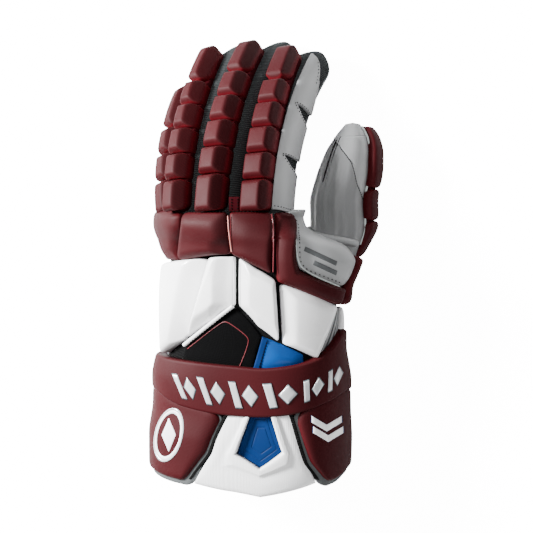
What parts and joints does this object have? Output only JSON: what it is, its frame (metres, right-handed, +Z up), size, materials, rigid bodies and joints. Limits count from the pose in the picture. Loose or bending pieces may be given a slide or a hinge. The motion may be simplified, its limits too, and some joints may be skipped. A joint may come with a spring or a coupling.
{
  "type": "lacrosse glove",
  "caption": "Left-hand padded lacrosse glove lying palm down, with segmented finger pads, padded back and thumb, flared cuff flaps and a wrist strap.",
  "frame": {"origin": "under the middle of the bounding box, on the surface the glove lies on", "axes": "+Z up, +Y from the cuff towards the fingertips, +X towards the thumb side"},
  "size_m": [0.1772, 0.332, 0.1067],
  "materials": {
    "maroon_leather": "matte synthetic leather",
    "white_leather": "satin synthetic leather",
    "grey_leather": "smooth synthetic leather",
    "slate_leather": "soft matte leather",
    "palm_leather": "soft matte leather",
    "blue_leather": "satin synthetic leather",
    "black_fabric": "matte fabric over a thin foam plate",
    "gusset_knit": "ribbed stretch knit",
    "lining": "brushed lining",
    "cuff_fabric": "fine ribbed fabric"
  },
  "bodies": {
    "root": {"black_plate": "black_fabric", "blue_inset": "blue_leather", "blue_pad": "blue_leather", "flap_outer": "maroon_leather", "flap_thumb": "maroon_leather", "hand_shell": "lining", "index_grip": "palm_leather", "index_gusset": "gusset_knit", "index_pad_1": "maroon_leather", "index_pad_2": "maroon_leather", "index_pad_3": "maroon_leather", "index_pad_4": "maroon_leather", "index_pad_5": "maroon_leather", "index_pad_6": "maroon_leather", "index_side_panel": "grey_leather", "knuckle_pad_little": "maroon_leather", "knuckle_pad_middle": "maroon_leather", "knuckle_pad_ring": "maroon_leather", "little_grip": "palm_leather", "little_gusset": "gusset_knit", "little_pad_1": "maroon_leather", "little_pad_2": "maroon_leather", "little_pad_3": "maroon_leather", "little_pad_4": "maroon_leather", "middle_grip": "palm_leather", "middle_gusset": "gusset_knit", "middle_pad_1": "maroon_leather", "middle_pad_2": "maroon_leather", "middle_pad_3": "maroon_leather", "middle_pad_4": "maroon_leather", "middle_pad_5": "maroon_leather", "middle_pad_6": "maroon_leather", "palm_leather": "palm_leather", "ring_grip": "palm_leather", "ring_gusset": "gusset_knit", "ring_pad_1": "maroon_leather", "ring_pad_2": "maroon_leather", "ring_pad_3": "maroon_leather", "ring_pad_4": "maroon_leather", "ring_pad_5": "maroon_leather", "ring_pad_6": "maroon_leather", "saddle_pad": "maroon_leather", "saddle_patch": "grey_leather", "side_gusset": "slate_leather", "thumb_cap": "grey_leather", "thumb_pad_1": "maroon_leather", "thumb_pad_2": "maroon_leather", "thumb_pad_3": "maroon_leather", "thumb_root_pad": "maroon_leather", "thumb_sleeve": "slate_leather", "white_cuff": "cuff_fabric", "white_pad_middle": "white_leather", "white_pad_outer": "white_leather", "white_pad_ring": "white_leather", "white_pad_thumb": "white_leather", "white_side_pad": "white_leather", "wrist_strap": "maroon_leather"}
  },
  "joints": []
}
